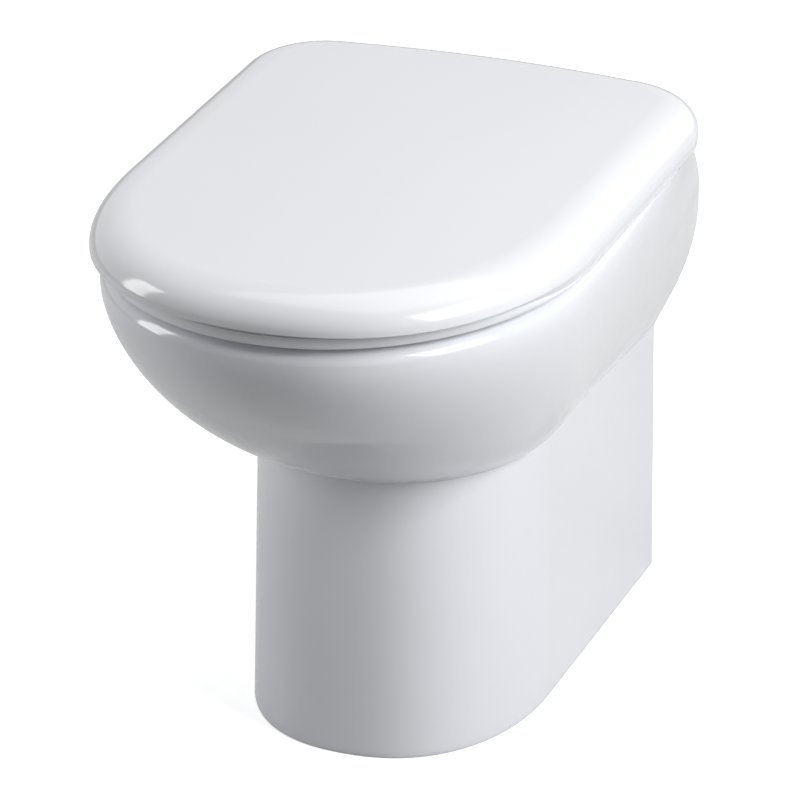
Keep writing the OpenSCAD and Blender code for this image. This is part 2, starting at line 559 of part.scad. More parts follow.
// The bushes and dampers fill the bores of the arms and lugs and turn on the pins.
module sleeve_x(x0, x1) difference() {
    rod_x(x0, x1, bush_d);
    rod_x(x0 - 1, x1 + 1, pin_d + 2 * run);
}
module at_axis() from_wall() translate([0, -axis_back, axis_z]) children();
module seat_damper() color("DimGray") at_axis() {
    sleeve_x(arm_x0 + 1.1, arm_x1);
}
module seat_bush() color("WhiteSmoke") at_axis() mirror([1, 0, 0]) sleeve_x(arm_x0 + 1.1, arm_x1);
module lid_damper() color("DimGray") at_axis() mirror([1, 0, 0]) sleeve_x(lug_x0, lug_x1 - 1.1);
module lid_bush() color("WhiteSmoke") at_axis() sleeve_x(lug_x0, lug_x1 - 1.1);

module buffer(h, d, stem, stem_h) rotate_extrude() polygon([[0, 0], [d / 2 - 1, 0], [d / 2, 1],
    [d / 2, h], [stem / 2, h], [stem / 2, h + stem_h], [0, h + stem_h]]);
module seat_buffers_front() color("WhiteSmoke") from_wall() both()
    translate([seat_buffer_front[0], seat_buffer_front[1], rim_height]) buffer(seat_gap, 17, 5, 4.4);
module seat_buffers_rear() color("WhiteSmoke") from_wall() both()
    translate([seat_buffer_rear[0], seat_buffer_rear[1], rim_height]) buffer(seat_gap, 17, 5, 4.4);
module lid_buffers() color("WhiteSmoke") from_wall() for (p = lid_buffer_at) both()
    translate([p[0], p[1], rim_height + seat_crown])
        buffer(pad_z - rim_height - seat_crown, 13, 4, pad_stem);

pan();
fixing_sleeves();
inlet_seal();
hinge_studs();
stud_gaskets();
stud_discs();
cone_washers();
stud_washers();
wing_nuts();
hinge_post_left();
hinge_post_right();
hinge_pins();
button_spring_left();
button_spring_right();
release_button_left();
release_button_right();
seat_ring();
seat_damper();
seat_bush();
seat_buffers_front();
seat_buffers_rear();
lid();
lid_damper();
lid_bush();
lid_buffers();
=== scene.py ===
"""The looks of a back to wall toilet: glazed china pan, moulded seat and lid, hinges, fixings, stage and
camera. Lengths in the functions are in millimetres: x from the middle, y from the wall, negative in
front of it, and z from the floor."""

import math

import bmesh
import bpy
import numpy as np
from bpy.props import FloatProperty, FloatVectorProperty, PointerProperty
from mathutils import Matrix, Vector


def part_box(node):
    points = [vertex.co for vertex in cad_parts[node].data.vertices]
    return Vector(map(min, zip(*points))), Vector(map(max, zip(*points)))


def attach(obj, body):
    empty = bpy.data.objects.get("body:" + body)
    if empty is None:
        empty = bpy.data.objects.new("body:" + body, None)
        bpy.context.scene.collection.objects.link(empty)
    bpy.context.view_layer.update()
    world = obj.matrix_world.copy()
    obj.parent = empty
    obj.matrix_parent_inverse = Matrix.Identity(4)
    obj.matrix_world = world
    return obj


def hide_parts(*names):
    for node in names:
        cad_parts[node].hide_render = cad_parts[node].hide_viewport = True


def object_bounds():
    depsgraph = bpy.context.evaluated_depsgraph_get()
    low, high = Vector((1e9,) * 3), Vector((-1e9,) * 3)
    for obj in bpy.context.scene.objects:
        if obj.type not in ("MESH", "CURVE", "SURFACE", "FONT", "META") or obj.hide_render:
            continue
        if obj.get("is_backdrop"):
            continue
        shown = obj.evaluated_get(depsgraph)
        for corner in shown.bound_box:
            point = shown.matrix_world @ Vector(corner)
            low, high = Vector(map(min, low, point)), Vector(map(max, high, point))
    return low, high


bl_info = {
    "name": "Back to wall toilet",
    "version": (1, 0, 0),
    "blender": (4, 5, 0),
    "location": "3D View > Sidebar > Toilet",
    "description": "Builds the pan, the seat, the lid and their fittings round a fixed frame",
    "category": "Object",
}

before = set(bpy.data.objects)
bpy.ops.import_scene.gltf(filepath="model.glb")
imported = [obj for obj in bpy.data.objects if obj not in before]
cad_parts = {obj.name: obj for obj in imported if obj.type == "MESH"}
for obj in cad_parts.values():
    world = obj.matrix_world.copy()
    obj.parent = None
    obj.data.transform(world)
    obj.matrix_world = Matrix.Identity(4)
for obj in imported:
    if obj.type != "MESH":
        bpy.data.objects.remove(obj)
CAD_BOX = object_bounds()

MM = 0.001
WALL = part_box("pan")[1].y / MM  # the wall face, in the frame


# ---------- sizes and colours that a user can change ----------


def span(node, axis):
    """How long a node's box is along an axis, in metres."""
    low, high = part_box(node)
    return high[axis] - low[axis]


def length(name, description, default):
    """A size, in metres."""
    return FloatProperty(name=name, description=description, default=default, unit="LENGTH", precision=4)


def linear(code):
    """An sRGB hex colour as linear RGB and alpha: a straight line near black, a power of 2.4 above."""
    srgb = np.array([int(code[i : i + 2], 16) for i in (1, 3, 5)]) / 255
    flat = np.where(srgb <= 0.04045, srgb / 12.92, ((srgb + 0.055) / 1.055) ** 2.4)
    return (*flat.tolist(), 1.0)


def colour(name, description, code):
    """A colour, from its hex value."""
    return FloatVectorProperty(
        name=name, description=description, default=linear(code), size=4, subtype="COLOR", min=0, max=1
    )


class PanSizes(bpy.types.PropertyGroup):
    """Sizes of the china pan"""

    rim_height: length("Rim height", "Height of the rim above the floor", span("pan", 2))
    bowl_width: length("Bowl width", "Greatest width of the bowl", span("pan", 0))
    bowl_reach: length("Bowl reach", "How far the rim reaches out from the wall", span("pan", 1))
    foot_width: length("Foot width", "Width of the pedestal at the floor", 0.2226)
    foot_reach: length("Foot reach", "How far the foot reaches out from the wall", 0.386)
    crease_height: length("Crease height", "Where the bowl swells out of the pedestal", 0.222)
    back_width: length("Back width", "Width of the china where it meets the wall", 0.2864)
    wall_thickness: length("China thickness", "Thickness of the fired walls", 0.011)
    rim_radius: length("Rim radius", "Radius of the rim's rounded outer edge", 0.011)
    mouth_width: length("Mouth width", "Width of the opening inside the rim", 0.250)
    mouth_reach: length("Mouth reach", "From the wall to the front of that opening", 0.506)
    mouth_back: length("Mouth back", "From the wall to the back of that opening", 0.152)
    sump_height: length("Sump height", "Height of the bottom of the sump", 0.100)
    spigot_height: length("Spigot height", "Height of the middle of the waste spigot", 0.185)
    inlet_height: length("Inlet height", "Height of the middle of the flush inlet", 0.336)


class SeatSizes(bpy.types.PropertyGroup):
    """Sizes of the seat ring and the lid"""

    seat_width: length("Seat width", "Width of the seat ring over its lip", span("seat_ring", 0))
    seat_reach: length("Seat reach", "How far the seat ring reaches out from the wall", 0.564)
    seat_underside: length("Seat underside", "Height of its underside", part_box("seat_ring")[0].z)
    seat_top: length("Seat top", "Height of the seat's flat top", 0.430)
    hole_width: length("Hole width", "Width of the hole in the seat", 0.216)
    lid_width: length("Lid width", "Overall width of the lid", span("lid", 0))
    lid_reach: length("Lid reach", "How far the lid reaches out from the wall", 0.568)
    lid_top: length("Lid top", "Height of the lid's top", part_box("lid")[1].z)
    lid_skin: length("Lid skin", "Thickness of the lid's moulded skin", 0.0032)


class Colours(bpy.types.PropertyGroup):
    """Colours of the finishes"""

    glaze: colour("Glaze", "White glaze of the china", "#E9EBF0")
    bisque: colour("Bare body", "Fired china where no glaze was laid", "#E4DFD4")
    moulding: colour("Moulding", "White of the seat and the lid", "#EAECF0")
    nylon: colour("Nylon", "White nylon of nuts, bushes and sleeves", "#E9E8E2")
    damper: colour("Damper", "Grey housing of the dampers", "#5B5F63")
    pad: colour("Pad", "Pale elastomer of the pads", "#DEDDD6")
    seal: colour("Seal", "Black rubber of the seals", "#1C1C1D")
    steel: colour("Steel", "Stainless steel of studs, pins and springs", "#B9B8B4")
    chrome: colour("Chrome", "Chrome plate on the posts and buttons", "#D4D6D8")


# ---------- outlines ----------


TIP_TO_WIDEST = 208  # the bowl and the lid's skirt are widest this far behind the rim's front tip
SHAPE_DROP = 4  # the rim has the outline that the skin has this far below it
EGG_WIDEST = 0.52  # the bowl's inside is widest at this share of its length from the front
EGG_FRONT, EGG_BACK = 2.1, 2.6  # exponents of its two halves


def smooth(t):
    """Rises from 0 to 1 with a level start and end: three t squared less two t cubed."""
    u = np.clip(t, 0, 1)
    return u * u * (3 - 2 * u)


def gone(value, start, end):
    """The share of the way from start to end that a value has gone, from 0 to 1."""
    return np.clip((value - start) / (end - start), 0, 1)


def swell(t, inner, outer):
    """A rounded rise from 0 to 1: one less the power inner of what is left of t, to the power outer."""
    return (1 - (1 - t) ** inner) ** outer


def tucked(share):
    """How far a rounded edge is drawn in: a quarter circle, 1 at its end and 0 where it is fully out."""
    return 1 - np.sqrt(1 - (1 - np.clip(share, 0, 1)) ** 2)


def spread(count):
    """Steps from 0 to 1, closer together at both ends: half of one less the cosine of a half turn."""
    return (1 - np.cos(np.linspace(0, np.pi, count + 1))) / 2


def oval(y, a, front, c, back, m, p):
    """Half width of a rounded outline at y: a superellipse of exponent m before its widest place c, and
    of exponent p behind it."""
    fore = np.clip(1 - np.abs((c - y) / (c - front)) ** m, 0, None) ** (1 / m)
    aft = np.clip(1 - np.abs((y - c) / np.maximum(1, back - c)) ** p, 0, None) ** (1 / p)
    return a * np.where(y < c, fore, aft)


class Skin:
    """The pan's outer skin: a nearly upright foot, and a bowl that swells out of it above the crease and
    is drawn in toward the wall."""

    shoulder_drop = 15  # from the rim down to where the bowl has its full size
    taper_height = 190  # the foot draws in up to here
    front_taper, side_taper = 6, 2  # by so much at its front and at each side
    front_start = 8  # the bowl's front starts this far inside the foot's
    low_widest = 240  # from the wall to the bowl's widest place at the crease
    back_part = 310  # the last stretch before the wall, where the crease falls
    crease_fall, crease_bend = 16, 0.3  # by so much, after a bend over this share of the stretch
    fade = 120  # the first part of the stretch, where the foot's share fades out
    wall_draw, draw_height = 15, 70  # at the wall the sides draw in, over this height under the rim
    foot_widest, foot_back = 147.5, 60  # behind the foot's front, and behind the wall's face
    blend = 14  # the power that joins foot and bowl

    def __init__(self, pan):
        self.rim = pan.rim_height / MM
        self.shoulder = self.rim - self.shoulder_drop
        self.crease = pan.crease_height / MM
        self.foot_a = pan.foot_width / MM / 2
        self.foot_reach = pan.foot_reach / MM
        self.bowl_a = pan.bowl_width / MM / 2
        self.bowl_reach = pan.bowl_reach / MM
        self.back_a = pan.back_width / MM / 2
        self.widest = self.bowl_reach - TIP_TO_WIDEST

    def risen(self, z):
        """0 at the crease and 1 under the rim."""
        return gone(z, self.crease, self.shoulder)

    def fore(self, z):
        """How far the front has swelled out: 0 at the crease and 1 under the rim."""
        return swell(self.risen(z), 1.58, 0.89)

    def tapered(self, z, most):
        """How far the foot has drawn in at a height: evenly up to the most, and no further above."""
        return most * np.minimum(z, self.taper_height) / self.taper_height

    def faded(self, y):
        """0 along the front and the sides, and 1 where the foot's share has faded out."""
        return smooth((y + self.back_part) / self.fade)

    def foot_front(self, z):
        """The foot's front end: its reach, less what it has drawn in."""
        return -(self.foot_reach - self.tapered(z, self.front_taper))

    def bowl_front(self, z):
        """The bowl's front end: from its start inside the foot's, out to the rim's reach with fore."""
        way = self.bowl_reach - self.foot_reach + self.front_start
        return -(self.foot_reach - self.front_start + way * self.fore(z))

    def front(self, z, inset):
        """Front end of the skin at a height, drawn in: the further out of the foot's and the bowl's."""
        bowl = np.where(z > self.crease, self.bowl_front(z), 0)
        return inset + np.minimum(self.foot_front(z), bowl)

    def bowl_half(self, y, z, inset):
        """Half width of the bowl. Toward the wall the crease bends along a short parabola and then
        slopes down. From there the sides swell along one rounded curve, and along a steeper one at the
        wall. In plan, the front is a superellipse as far as its widest place c. Behind c the width goes
        over to the wall's with a power of the way gone, 1.3 at the crease and 3.5 at the rim."""
        c = -(self.low_widest + (self.widest - self.low_widest) * self.fore(z))
        u, bend = gone(y, -self.back_part, 0), self.crease_bend
        fall = np.where(u < bend, u * u / (2 * bend), u - bend / 2) / (1 - bend / 2)
        crease = self.crease - self.crease_fall * fall
        t = gone(z, crease, self.shoulder)
        base = self.foot_a - self.side_taper * self.faded(y)
        side = base + (self.bowl_a - self.foot_a) * swell(t, 1.43, 0.76)
        at_wall = base + (self.back_a - base) * swell(np.minimum(1, 1.6 * t), 2, 1.15)
        at_wall = at_wall - self.wall_draw * smooth((z - self.rim + self.draw_height) / self.draw_height)
        before = oval(np.minimum(y, c), side - inset, self.bowl_front(z) + inset, c, 0, 2.08, 1)
        over = np.clip(1 - y / c, 0, 1) ** (1.3 + 2.2 * self.risen(z))
        behind = side + (at_wall - side) * over - inset
        half = np.maximum(0, np.where(y < c, before, behind))
        return np.where((t > 0) & ((z > self.crease) | (y > c)), half, 0)

    def half(self, y, z, inset):
        """Half width of the skin: the 14th root of the sum of the 14th powers of the foot's and the
        bowl's, which leaves the wider of them and rounds the place where both are as wide. The foot's
        share fades out toward the wall."""
        k = self.blend
        start = self.foot_front(z) + inset
        wide = self.foot_a - self.tapered(z, self.side_taper) - inset
        widest = start - inset + self.foot_widest
        foot = np.maximum(0, oval(y, wide, start, widest, self.foot_back, 2.25, 40))
        share = 1 - self.faded(y)
        return np.maximum(foot, (share * foot**k + self.bowl_half(y, z, inset) ** k) ** (1 / k))


SIDE_STEPS = 120  # along each side, from the front tip to the wall
BACK_STEPS = 24  # across the back
AROUND = 2 * SIDE_STEPS + BACK_STEPS


def skin_rings(skin, shape_z, inset, z):
    """Levels of the outer skin as one array, each from the front tip down the right side, straight
    across the back and up the left. It has the skin's shape at shape_z, drawn in by inset, and lies
    at z."""
    shape_z, inset, z = (np.asarray(v, float)[:, None] for v in (shape_z, inset, z))
    tip = skin.front(shape_z, inset)
    y = tip + (-inset - tip) * spread(SIDE_STEPS)[None, :]
    x = skin.half(y, shape_z, inset)
    x[:, 0] = 0
    across = np.linspace(1, -1, BACK_STEPS + 1)[None, 1:-1]
    xs = np.concatenate([x, x[:, -1:] * across, -x[:, :0:-1]], axis=1)
    behind = np.broadcast_to(y[:, -1:], (len(y), BACK_STEPS - 1))
    ys = np.concatenate([y, behind, y[:, :0:-1]], axis=1)
    return np.stack([xs, ys, np.broadcast_to(z, xs.shape)], axis=2)


def bowl_rings(rows, grow=0.0, drop=0.0):
    """Levels of the bowl's inside as one array, from rows of half width, front, back and height: eggs, a
    superellipse before the widest place and a squarer one behind, grown and dropped if asked."""
    a, front, back, z = (rows[:, i, None] for i in range(4))
    t = np.linspace(0, 2 * np.pi, AROUND, endpoint=False)[None, :]
    near, far = -(front + grow), -(back - grow)
    c = near + (far - near) * EGG_WIDEST
    power = np.where(np.cos(t) > 0, 2 / EGG_FRONT, 2 / EGG_BACK)
    x = (a + grow) * np.sign(np.sin(t)) * np.abs(np.sin(t)) ** power
    y = c + np.where(np.cos(t) > 0, near - c, far - c) * np.abs(np.cos(t)) ** power
    return np.stack([x, y, np.broadcast_to(z - drop, x.shape)], axis=2)


def eased(rows, count):
    """A smooth curve through the rows of a profile, with count steps to each row: between two rows, the
    cubic that meets both, and whose slope at each is half of the step between that row's neighbours."""
    rows = np.asarray(rows, float)
    ends = np.vstack([2 * rows[:1] - rows[1:2], rows, 2 * rows[-1:] - rows[-2:-1]])
    t = (np.arange(count) / count)[None, :, None]
    p0, p1, p2, p3 = (ends[i : len(ends) - 3 + i, None, :] for i in range(4))
    square, cube = p0 - 2.5 * p1 + 2 * p2 - p3 / 2, 1.5 * (p1 - p2) + (p3 - p0) / 2
    curve = p1 + t * (p2 - p0) / 2 + t**2 * square + t**3 * cube
    return np.vstack([curve.reshape(-1, rows.shape[1]), rows[-1:]])


# ---------- meshes ----------


BAR_SIDES = 64  # round a bar or a bore
SHARP = 32  # an edge that bends by more than so many degrees is shaded sharp


def placed(points):
    """Points in millimetres from the wall, as metres in the frame."""
    return (points.reshape(-1, 3) + np.array([0, WALL, 0])) * MM


def band_faces(rows, around, closed=False):
    """Quads between neighbouring rings of a grid, and between the last ring and the first if closed."""
    k = np.arange(rows if closed else rows - 1)[:, None]
    i = np.arange(around)[None, :]
    near, far = k * around, (k + 1) % rows * around
    j = (i + 1) % around
    return np.stack(np.broadcast_arrays(near + i, near + j, far + j, far + i), axis=2).reshape(-1, 4)


def pole_faces(rows, around):
    """Fans that close the first ring to the point after the grid, and the last ring to the next one."""
    i = np.arange(around)
    j = (i + 1) % around
    pole = rows * around
    last = (rows - 1) * around
    first_fan = np.stack([np.full(around, pole), j, i], axis=1)
    last_fan = np.stack([np.full(around, pole + 1), last + i, last + j], axis=1)
    return np.vstack([first_fan, last_fan])


def outward(points, groups):
    """Arrays of faces, turned to enclose a positive volume: a sixth of the sum over triangles, two to a
    quad, of the first corner's dot product with the cross product of the other two."""
    volume = 0
    for faces in groups:
        first, second, third, last = (points[faces[:, i]] for i in (0, 1, 2, -1))
        volume += (first * (np.cross(second, third) + np.cross(third, last))).sum()
    return groups if volume > 0 else [faces[:, ::-1] for faces in groups]


def linked(name, data):
    """A new object in the scene."""
    made = bpy.data.objects.new(name, data)
    bpy.context.scene.collection.objects.link(made)
    return made


def new_object(name, points, groups, materials=(), face_material=None):
    """A smooth mesh object from points in the frame and arrays of triangles or quads."""
    faces = [face for array in outward(points, groups) for face in array.tolist()]
    mesh = bpy.data.meshes.new(name)
    mesh.from_pydata(points.tolist(), [], faces)
    for material in materials:
        mesh.materials.append(material)
    if face_material is not None:
        mesh.polygons.foreach_set("material_index", face_material)
    mesh.polygons.foreach_set("use_smooth", np.ones(len(mesh.polygons), bool))
    return linked(name, mesh)


def closed_skin(name, rings, first, last, materials=(), row_material=None):
    """A closed skin through a run of rings, from a first point to a last one."""
    rows, around = rings.shape[:2]
    points = placed(np.vstack([rings.reshape(-1, 3), [first], [last]]))
    faces = [band_faces(rows, around), pole_faces(rows, around)]
    index = None
    if row_material is not None:
        index = np.repeat([*row_material, row_material[0], row_material[-1]], around)
    return new_object(name, points, faces, materials, index)


def swept(name, path, radius, materials=()):
    """A round bar along a path of points: at each a circle, from two directions that are square to the
    path and to each other."""
    path = np.asarray(path, float)
    along = np.gradient(path, axis=0)
    along /= np.linalg.norm(along, axis=1)[:, None]
    flat = np.ptp(path[:, 0]) < 1e-9  # the path lies in a plane of constant x
    u = np.cross(along, [1.0, 0, 0] if flat else [0, 0, 1.0])
    u /= np.linalg.norm(u, axis=1)[:, None]
    v = np.cross(along, u)
    t = np.linspace(0, 2 * np.pi, BAR_SIDES, endpoint=False)[None, :, None]
    rings = path[:, None, :] + radius * (np.cos(t) * u[:, None, :] + np.sin(t) * v[:, None, :])
    return closed_skin(name, rings, path[0], path[-1], materials)


def rod(name, start, end, diameter, materials=()):
    """A straight round bar."""
    return swept(name, [start, end], diameter / 2, materials)


def upright(name, x, y, low, high, diameter, materials):
    """An upright round bar."""
    return rod(name, (x, y, low), (x, y, high), diameter, materials)


def block(name, low, high):
    """A rectangular tool for cutting or joining."""
    low, high = np.array(low, float), np.array(high, float)
    pick = np.array([[x, y, z] for x in (0, 1) for y in (0, 1) for z in (0, 1)])
    points = low + (high - low) * pick
    faces = [[0, 1, 3, 2], [4, 6, 7, 5], [0, 4, 5, 1], [2, 3, 7, 6], [0, 2, 6, 4], [1, 5, 7, 3]]
    return new_object(name, placed(points), [np.array(faces)])


def slab(name, outline, x0, x1):
    """An outline in y and z, carried from x0 to x1, with a face at each end and all faces outwards."""
    outline = np.array(outline, float)
    n = len(outline)
    ends = [np.column_stack([np.full(n, x), outline]) for x in (x0, x1)]
    made = new_object(name, placed(np.vstack(ends)), [band_faces(2, n)])
    bm = bmesh.new()
    bm.from_mesh(made.data)
    bm.verts.ensure_lookup_table()
    for first in (0, n):
        bm.faces.new(bm.verts[first : first + n])
    bmesh.ops.recalc_face_normals(bm, faces=bm.faces)
    bm.to_mesh(made.data)
    bm.free()
    return made


def combined(piece, tools, operation):
    """Joins each tool to the piece, or cuts the piece by it. The tools are used up."""
    for tool in tools:
        step = piece.modifiers.new("Combine", "BOOLEAN")
        step.operation = operation
        step.solver = "MANIFOLD"
        step.object = tool
    bpy.context.view_layer.update()
    graph = bpy.context.evaluated_depsgraph_get()
    result = bpy.data.meshes.new_from_object(piece.evaluated_get(graph), depsgraph=graph)
    old = piece.data
    piece.modifiers.clear()
    piece.data = result
    bpy.data.meshes.remove(old)
    for tool in tools:
        spent = tool.data
        bpy.data.objects.remove(tool)
        bpy.data.meshes.remove(spent)
    if not len(result.polygons):
        raise RuntimeError(f"{piece.name} came out empty")


def carved(piece, joins, cuts):
    """Joins and cuts a shell, and shades it smooth but for its sharp edges."""
    combined(piece, joins, "UNION")
    combined(piece, cuts, "DIFFERENCE")
    mesh = piece.data
    mesh.polygons.foreach_set("use_smooth", np.ones(len(mesh.polygons), bool))
    mesh.set_sharp_from_angle(angle=math.radians(SHARP))
    mesh.update()


# ---------- materials ----------


def add(tree, kind, inputs=None, **settings):
    """Adds a node with its settings. Each input is a value, or another node's output to link from."""
    made = tree.nodes.new(kind)
    for key, value in settings.items():
        setattr(made, key, value)
    for key, value in (inputs or {}).items():
        if isinstance(value, bpy.types.NodeSocket):
            tree.links.new(value, made.inputs[key])
        else:
            made.inputs[key].default_value = value
    return made


def fresh_tree(item):
    """The emptied node tree of a material or a world."""
    item.use_nodes = True
    item.node_tree.nodes.clear()
    return item.node_tree


def ranged(tree, place, size_mm, low, high, detail=2.0):
    """A soft noise between two values, whose scale is a thousand over its blotches' millimetres."""
    texture = {"Vector": place, "Scale": 1000 / size_mm, "Detail": detail}
    noise = add(tree, "ShaderNodeTexNoise", texture).outputs["Fac"]
    ends = {"Value": noise, "From Min": 0.3, "From Max": 0.7, "To Min": low, "To Max": high}
    return add(tree, "ShaderNodeMapRange", ends).outputs["Result"]


def varied(tree, place, base, size_mm, low, high):
    """The base colour, multiplied by a soft noise between two grey values."""
    grey = ranged(tree, place, size_mm, low, high, detail=3.0)
    # In a colour mix, socket 0 is the factor, 6 and 7 are the two colours, and output 2 is the result
    inputs = {0: 1.0, 6: base, 7: grey}
    return add(tree, "ShaderNodeMix", inputs, data_type="RGBA", blend_type="MULTIPLY").outputs[2]


def relief(tree, place, under, size_mm, depth_mm, detail=2.0):
    """A bump of soft noise, so many millimetres across and deep, over another bump if there is one."""
    texture = {"Vector": place, "Scale": 1000 / size_mm, "Detail": detail}
    noise = add(tree, "ShaderNodeTexNoise", texture).outputs["Fac"]
    inputs = {"Height": noise, "Distance": depth_mm * MM, "Strength": 1.0}
    if under is not None:
        inputs["Normal"] = under
    return add(tree, "ShaderNodeBump", inputs).outputs["Normal"]


def finish(name, base, clouds, gloss, bumps, **settings):
    """A material on object coordinates, in metres. clouds are its colour's unevenness: millimetres
    across, darkest and lightest. gloss is the same for its roughness. Each bump lies over the one before
    it: millimetres across, millimetres deep and, if it is finer, its detail."""
    material = bpy.data.materials.new(name)
    tree = fresh_tree(material)
    place = add(tree, "ShaderNodeTexCoord").outputs["Object"]
    normal = None
    for bump in bumps:
        normal = relief(tree, place, normal, *bump)
    inputs = {
        "Base Color": varied(tree, place, base, *clouds),
        "Roughness": ranged(tree, place, *gloss),
        "Normal": normal,
        **settings,
    }
    shader = add(tree, "ShaderNodeBsdfPrincipled", inputs)
    add(tree, "ShaderNodeOutputMaterial", {"Surface": shader.outputs["BSDF"]})
    return material


def glazed_china(colours):
    """Vitreous china, dipped or sprayed with an opaque white glaze and fired: a thick glassy coat,
    mirror smooth but for a long soft waviness where it flowed, and very slightly uneven in its white."""
    flow, pits = (55, 0.05), (9, 0.002)
    clouds, gloss = (130, 0.975, 1.0), (40, 0.07, 0.12)
    return finish("Vitreous china, glazed", colours.glaze, clouds, gloss, [flow, pits], IOR=1.52)


def bare_china(colours):
    """Vitreous china where no glaze was laid, as inside the pedestal: matt, buff white and faintly sandy
    from the mould."""
    clouds, gloss, sand = (25, 0.9, 1.0), (8, 0.6, 0.75), (1.6, 0.05, 4.0)
    return finish("Vitreous china, bare", colours.bisque, clouds, gloss, [sand], IOR=1.5)


def polished_moulding(colours):
    """Urea moulding compound, pressed in a polished steel tool: hard, white, glossy, with a very slight
    orange peel."""
    sink, peel = (70, 0.03), (4, 0.0012)
    clouds, gloss = (160, 0.985, 1.0), (30, 0.1, 0.14)
    return finish("Urea moulding, polished", colours.moulding, clouds, gloss, [sink, peel], IOR=1.5)


def moulded_plastic(name, base):
    """Nylon or acetal, injection moulded in a spark-eroded tool: satin, with a fine even grain."""
    return finish(name, base, (12, 0.94, 1.0), (6, 0.36, 0.46), [(1.2, 0.012, 3.0)], IOR=1.53)


def soft_rubber(name, base, low, high):
    """Rubber, compression moulded: matt, dusty, finely pitted. low and high are its roughness."""
    return finish(name, base, (9, 0.82, 1.0), (7, low, high), [(0.9, 0.02, 3.0)], IOR=1.5)


def turned_steel(colours):
    """Stainless steel, turned and tumbled: greyish, softly shiny, with fine tool marks about half a
    millimetre across."""
    clouds, gloss, marks = (5, 0.9, 1.0), (3, 0.22, 0.34), (0.5, 0.01)
    return finish("Stainless steel, turned", colours.steel, clouds, gloss, [marks], Metallic=1.0)


def chrome_plate(colours):
    """Chrome plate on die cast zinc, buffed: bright, with faint unevenness of the casting under it."""
    clouds, gloss, casting = (14, 0.95, 1.0), (6, 0.05, 0.12), (8, 0.008)
    return finish("Chrome plate, buffed", colours.chrome, clouds, gloss, [casting], Metallic=1.0)


# ---------- the pan ----------


TRAP_BORE, SPIGOT_OUTSIDE, INLET_BORE = 66, 102, 55
TRAP_MOUTH = 34  # from the bottom of the sump up to the middle of the trap's mouth
SUMP_Y = -262  # the middle of the sump
DECK_DROP = 14  # from the rim down to the hidden side of its deck
STUD_X, STUD_Y, STUD_HOLE = 77.5, -100, 15
LUG_OUT, LUG_MIDDLE, LUG_IN = 9.5, 23, 34  # a floor lug's faces and hole, in from the foot's side
LUG_SCREW = 10
BACK_TOP = 271  # the open back's upper edge


def inside_profile(pan):
    """The bowl's inside as rows of half width, front, back and height: down from the rim, out under its
    lip, down the funnel, as shares of the way from the mouth to the throat, and into the sump."""
    a, reach, back = pan.mouth_width / MM / 2, pan.mouth_reach / MM, pan.mouth_back / MM
    rim, sump = pan.rim_height / MM, pan.sump_height / MM
    mouth, throat = np.array([a, reach, back, rim]), np.array([51, 318, 222, sump + 66])
    shares = np.array([
        [0.07, 0.23, -0.04, 0.39], [0.32, 0.54, 0.17, 0.56],
        [0.63, 0.85, 0.54, 0.73], [0.89, 0.95, 0.83, 0.89],
    ])
    return np.array([
        [a + 6, reach + 6, back - 6, rim],
        [a + 1.5, reach + 1.5, back - 1.5, rim - 2.5],
        [a, reach, back, rim - 7],
        [a, reach, back, rim - 34],
        [a + 3, reach + 3, back - 3, rim - 38],
        [a + 9, reach + 9, back - 9, rim - 41],
        [a + 6, reach + 1, back - 8, rim - 56],
        *(mouth + (throat - mouth) * shares),
        throat,
        [47, 306, 225, sump + TRAP_MOUTH],
        [45, 303, 226, sump + 12],
        [38, 296, 233, sump + 2],
        [22, 280, 248, sump],
    ])


LIP_ROW = 5  # the row of that profile furthest out under the rim's lip


def shown_rings(pan, skin, inner):
    """The shown side: up the inside, across the deck, over the rim, a quarter circle, and down the outer
    skin to the foot's edge, which is tucked in."""
    crease, top = skin.crease, skin.shoulder
    w, r = np.radians(np.linspace(90, 0, 13)), pan.rim_radius / MM
    shape_z = np.full(len(w), skin.rim - SHAPE_DROP)
    rim = skin_rings(skin, shape_z, r * (1 - np.cos(w)), skin.rim - r * (1 - np.sin(w)))
    deck = inner[-1:] + (rim[:1] - inner[-1:]) * np.linspace(0, 1, 8)[1:-1, None, None]
    edge = np.array([3, 1.5, 0.6, 0])
    z = np.concatenate([
        crease + (top - crease) * np.linspace(1, 0, 64)[:-1] ** 1.6,
        np.linspace(crease, crease - 20, 21),
        np.linspace(crease - 26, 6, 20),
        edge,
    ])
    outer = skin_rings(skin, z, 1.5 * tucked(z / edge[0]), z)
    return np.concatenate([inner, deck, rim, outer])


def hidden_rings(pan, skin, profile):
    """The hidden side, a wall's thickness in: up inside the pedestal and the bowl's swelling, in under
    the deck, and down round the bowl to below the sump."""
    china, crease, deck_z = pan.wall_thickness / MM, skin.crease, skin.rim - DECK_DROP
    low_z = np.array([0, 60, 180, crease - 10])
    rise = crease + (skin.shoulder - crease) * np.array([0.015, 0.13, 0.32, 0.56, 0.8])
    under_lip = np.array([[*profile[LIP_ROW][:3], deck_z]])
    return np.concatenate([
        skin_rings(skin, low_z, np.full(4, china), low_z),
        skin_rings(skin, rise, np.full(5, china - 3), rise + 9),
        skin_rings(skin, [skin.rim - SHAPE_DROP], [china - 1], [deck_z]),
        bowl_rings(under_lip, china - 1),
        bowl_rings(profile[LIP_ROW:-1], china - 2, 8),
    ])


